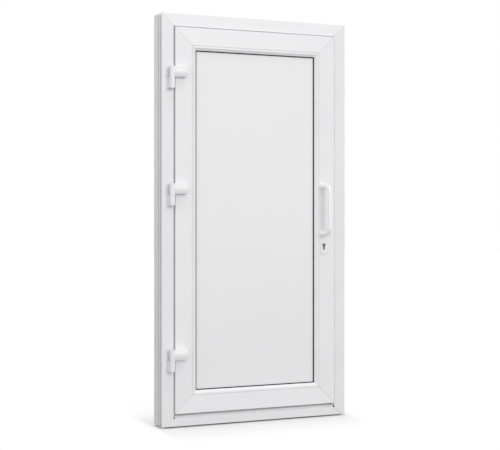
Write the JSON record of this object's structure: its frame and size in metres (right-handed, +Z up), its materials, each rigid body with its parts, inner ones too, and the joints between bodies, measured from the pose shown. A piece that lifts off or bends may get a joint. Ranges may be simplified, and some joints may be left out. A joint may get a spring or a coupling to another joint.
{
  "type": "upvc door",
  "caption": "White uPVC door set: mitred frame with threshold, outward-opening hinged leaf with a flat solid panel, bow pull handle and keyed cylinder.",
  "frame": {"origin": "centre of the sill's underside, at mid depth of the frame", "axes": "+Z up, -Y out of the front face that carries the hinges, +X to the right seen from the front"},
  "size_m": [0.99, 0.225, 1.99],
  "materials": {
    "upvc_white": "smooth extruded white plastic, satin gloss",
    "panel_white": "flat white sheet, satin",
    "threshold_white": "white coated threshold strip, satin",
    "gasket_black": "matte black seal",
    "seal_grey": "matte light grey seal",
    "hinge_white": "white powder coat",
    "handle_white": "gloss white coat",
    "cylinder_nickel": "satin nickel",
    "steel": "zinc plated steel"
  },
  "bodies": {
    "frame": {"frame_hinge_jamb": "upvc_white", "frame_lock_jamb": "upvc_white", "frame_head": "upvc_white", "frame_sill": "upvc_white", "threshold_strip": "threshold_white", "frame_gasket": "gasket_black", "hinge_base_top": "hinge_white", "hinge_base_middle": "hinge_white", "hinge_base_bottom": "hinge_white", "hinge_pin_top": "steel", "hinge_pin_middle": "steel", "hinge_pin_bottom": "steel", "strike_plate": "steel"},
    "leaf": {"sash_hinge_stile": "upvc_white", "sash_lock_stile": "upvc_white", "sash_top_rail": "upvc_white", "sash_bottom_rail": "upvc_white", "infill_panel": "panel_white", "glazing_bead_hinge": "upvc_white", "glazing_bead_lock": "upvc_white", "glazing_bead_top": "upvc_white", "glazing_bead_bottom": "upvc_white", "gasket_outer": "gasket_black", "gasket_inner": "gasket_black", "bottom_seal": "seal_grey", "hinge_flap_top": "hinge_white", "hinge_flap_middle": "hinge_white", "hinge_flap_bottom": "hinge_white", "pull_handle_outer": "handle_white", "pull_handle_inner": "handle_white", "escutcheon_outer": "handle_white", "escutcheon_inner": "handle_white", "lock_cylinder": "cylinder_nickel", "lock_faceplate": "steel", "roller_latch": "steel", "dead_bolt": "steel"}
  },
  "joints": [
    {"name": "leaf_swing", "type": "hinge", "parent": "frame", "child": "leaf", "pos_m": [-0.452, -0.0875, 1.113], "axis": [0, 0, -1], "range_deg": [0, 110]}
  ]
}
